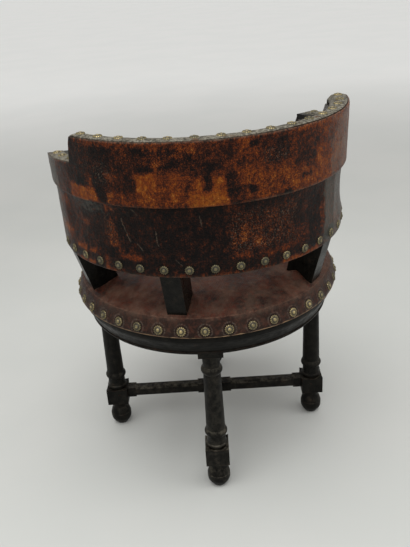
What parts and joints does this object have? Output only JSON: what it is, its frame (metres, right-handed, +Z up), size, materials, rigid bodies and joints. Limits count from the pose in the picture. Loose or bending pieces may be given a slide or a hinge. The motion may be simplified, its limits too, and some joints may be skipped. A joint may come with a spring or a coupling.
{
  "type": "desk armchair",
  "caption": "Desk armchair with a half-round leather back on posts and a round leather seat, both edged with rosette nails, swivelling on a moulded ring with turned legs and cross stretchers.",
  "frame": {"origin": "where the swivel's axis meets the floor", "axes": "+Z up along the swivel's axis; the sitter faces -Y, so the middle of the back is towards +Y"},
  "size_m": [0.6354, 0.6207, 0.8125],
  "materials": {
    "black_wood": "worn black varnish",
    "inner_wood": "sawn, unfinished",
    "iron": "dull",
    "brass": "tarnished",
    "seat_leather": "worn, satin",
    "lower_leather": "dark, cracked, satin",
    "upper_leather": "worn, satin",
    "strip_leather": "grained, faded",
    "hessian": "coarse",
    "stuffing": "soft"
  },
  "bodies": {
    "base": {"leg_1": "black_wood", "leg_2": "black_wood", "leg_3": "black_wood", "leg_4": "black_wood", "stretcher_over": "black_wood", "stretcher_under": "black_wood", "stretcher_pegs": "black_wood", "base_ring_arc_1": "black_wood", "base_ring_arc_2": "black_wood", "base_ring_arc_3": "black_wood", "base_ring_arc_4": "black_wood", "base_rail_over": "inner_wood", "base_rail_under": "inner_wood", "base_rail_screws": "iron", "friction_ring": "brass", "pivot_socket": "iron", "socket_screws": "iron", "thrust_washer": "brass"},
    "seat": {"pivot_spindle": "iron", "spindle_screws": "iron", "retaining_washer": "iron", "retaining_nut": "iron", "seat_bearer_over": "inner_wood", "seat_bearer_under": "inner_wood", "seat_ring_arc_1": "inner_wood", "seat_ring_arc_2": "inner_wood", "seat_ring_arc_3": "inner_wood", "seat_ring_arc_4": "inner_wood", "seat_webbing": "hessian", "seat_hessian": "hessian", "seat_stuffing": "stuffing", "seat_leather": "seat_leather", "seat_nails": "brass", "arm_post_left": "black_wood", "back_post_left": "black_wood", "back_post_right": "black_wood", "arm_post_right": "black_wood", "bottom_rail_left": "inner_wood", "bottom_rail_middle": "inner_wood", "bottom_rail_right": "inner_wood", "arm_front_block_left": "inner_wood", "arm_front_block_right": "inner_wood", "arm_bow_left": "inner_wood", "arm_bow_right": "inner_wood", "crest_rail": "inner_wood", "crest_dowels": "inner_wood", "back_hessian": "hessian", "back_stuffing": "stuffing", "back_lining": "seat_leather", "lower_band": "lower_leather", "upper_band": "upper_leather", "crest_strip": "strip_leather", "arm_strip_left": "strip_leather", "arm_strip_right": "strip_leather", "arm_end_left": "lower_leather", "arm_end_right": "lower_leather", "band_nails": "brass", "crest_nails": "brass", "lining_nails": "brass", "arm_end_nails": "brass"}
  },
  "joints": [
    {"name": "seat_swivel", "type": "hinge", "parent": "base", "child": "seat", "pos_m": [0, 0, 0], "axis": [0, 0, 1], "continuous": true}
  ]
}
